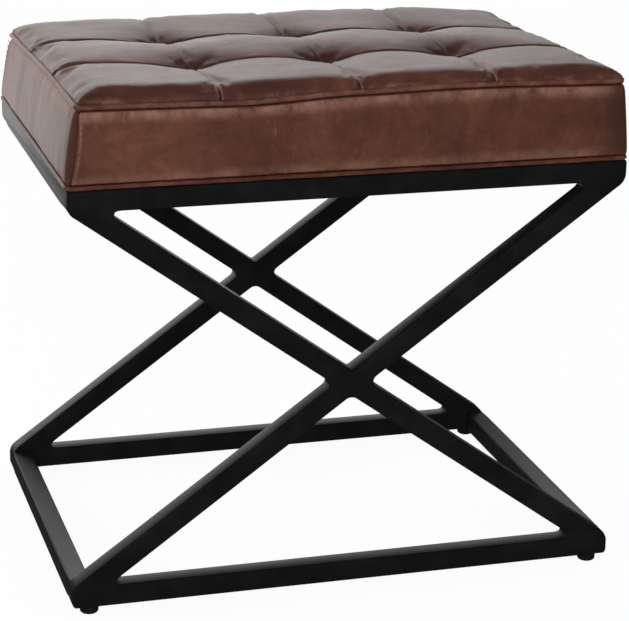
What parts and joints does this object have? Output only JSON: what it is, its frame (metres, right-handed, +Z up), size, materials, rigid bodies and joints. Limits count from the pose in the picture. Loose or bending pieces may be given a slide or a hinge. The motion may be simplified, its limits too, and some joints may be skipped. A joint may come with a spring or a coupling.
{
  "type": "x frame footstool",
  "caption": "Rectangular footstool: tufted leather box cushion on a welded square-tube frame whose front and back sides are X braces, standing on screw-in levelling feet.",
  "frame": {"origin": "on the floor under the middle of the stool, at the soles of the feet", "axes": "+X along the long side to the right, +Y from the front X to the back X, +Z up"},
  "size_m": [0.5036, 0.3586, 0.4665],
  "materials": {
    "frame_paint": "satin black powder coat",
    "zinc_steel": "zinc plated",
    "foot_nylon": "black nylon",
    "hide": "pull-up leather, mottled brown",
    "foam": "polyurethane foam",
    "plywood": "unfinished plywood",
    "dust_cloth": "black non-woven cloth",
    "twine": "waxed upholstery twine"
  },
  "bodies": {
    "stool": {"front_ring_rail": "frame_paint", "back_ring_rail": "frame_paint", "left_ring_rail": "frame_paint", "right_ring_rail": "frame_paint", "front_base_rail": "frame_paint", "back_base_rail": "frame_paint", "left_base_rail": "frame_paint", "right_base_rail": "frame_paint", "front_through_brace": "frame_paint", "front_upper_half_brace": "frame_paint", "front_lower_half_brace": "frame_paint", "back_through_brace": "frame_paint", "back_upper_half_brace": "frame_paint", "back_lower_half_brace": "frame_paint", "front_left_threaded_insert": "zinc_steel", "front_right_threaded_insert": "zinc_steel", "back_left_threaded_insert": "zinc_steel", "back_right_threaded_insert": "zinc_steel", "front_left_seat_screw": "zinc_steel", "front_right_seat_screw": "zinc_steel", "back_left_seat_screw": "zinc_steel", "back_right_seat_screw": "zinc_steel", "seat_board": "plywood", "foam_block": "foam", "dust_cover": "dust_cloth", "top_welt": "hide", "base_welt": "hide", "front_side_band": "hide", "back_side_band": "hide", "left_side_band": "hide", "right_side_band": "hide", "top_square_r1_c1": "hide", "top_square_r1_c2": "hide", "top_square_r1_c3": "hide", "top_square_r1_c4": "hide", "top_square_r2_c1": "hide", "top_square_r2_c2": "hide", "top_square_r2_c3": "hide", "top_square_r2_c4": "hide", "top_square_r3_c1": "hide", "top_square_r3_c2": "hide", "top_square_r3_c3": "hide", "top_square_r3_c4": "hide", "tuft_tie_r1_c1": "twine", "tuft_tie_r1_c2": "twine", "tuft_tie_r1_c3": "twine", "tuft_tie_r2_c1": "twine", "tuft_tie_r2_c2": "twine", "tuft_tie_r2_c3": "twine"},
    "front_left_foot": {"front_left_foot_pad": "foot_nylon", "front_left_foot_stud": "zinc_steel"},
    "front_right_foot": {"front_right_foot_pad": "foot_nylon", "front_right_foot_stud": "zinc_steel"},
    "back_left_foot": {"back_left_foot_pad": "foot_nylon", "back_left_foot_stud": "zinc_steel"},
    "back_right_foot": {"back_right_foot_pad": "foot_nylon", "back_right_foot_stud": "zinc_steel"}
  },
  "joints": [
    {"name": "front_left_foot_screw", "type": "slide", "parent": "stool", "child": "front_left_foot", "axis": [0, 0, -1], "range_m": [0, 0.008]},
    {"name": "front_right_foot_screw", "type": "slide", "parent": "stool", "child": "front_right_foot", "axis": [0, 0, -1], "range_m": [0, 0.008]},
    {"name": "back_left_foot_screw", "type": "slide", "parent": "stool", "child": "back_left_foot", "axis": [0, 0, -1], "range_m": [0, 0.008]},
    {"name": "back_right_foot_screw", "type": "slide", "parent": "stool", "child": "back_right_foot", "axis": [0, 0, -1], "range_m": [0, 0.008]}
  ]
}
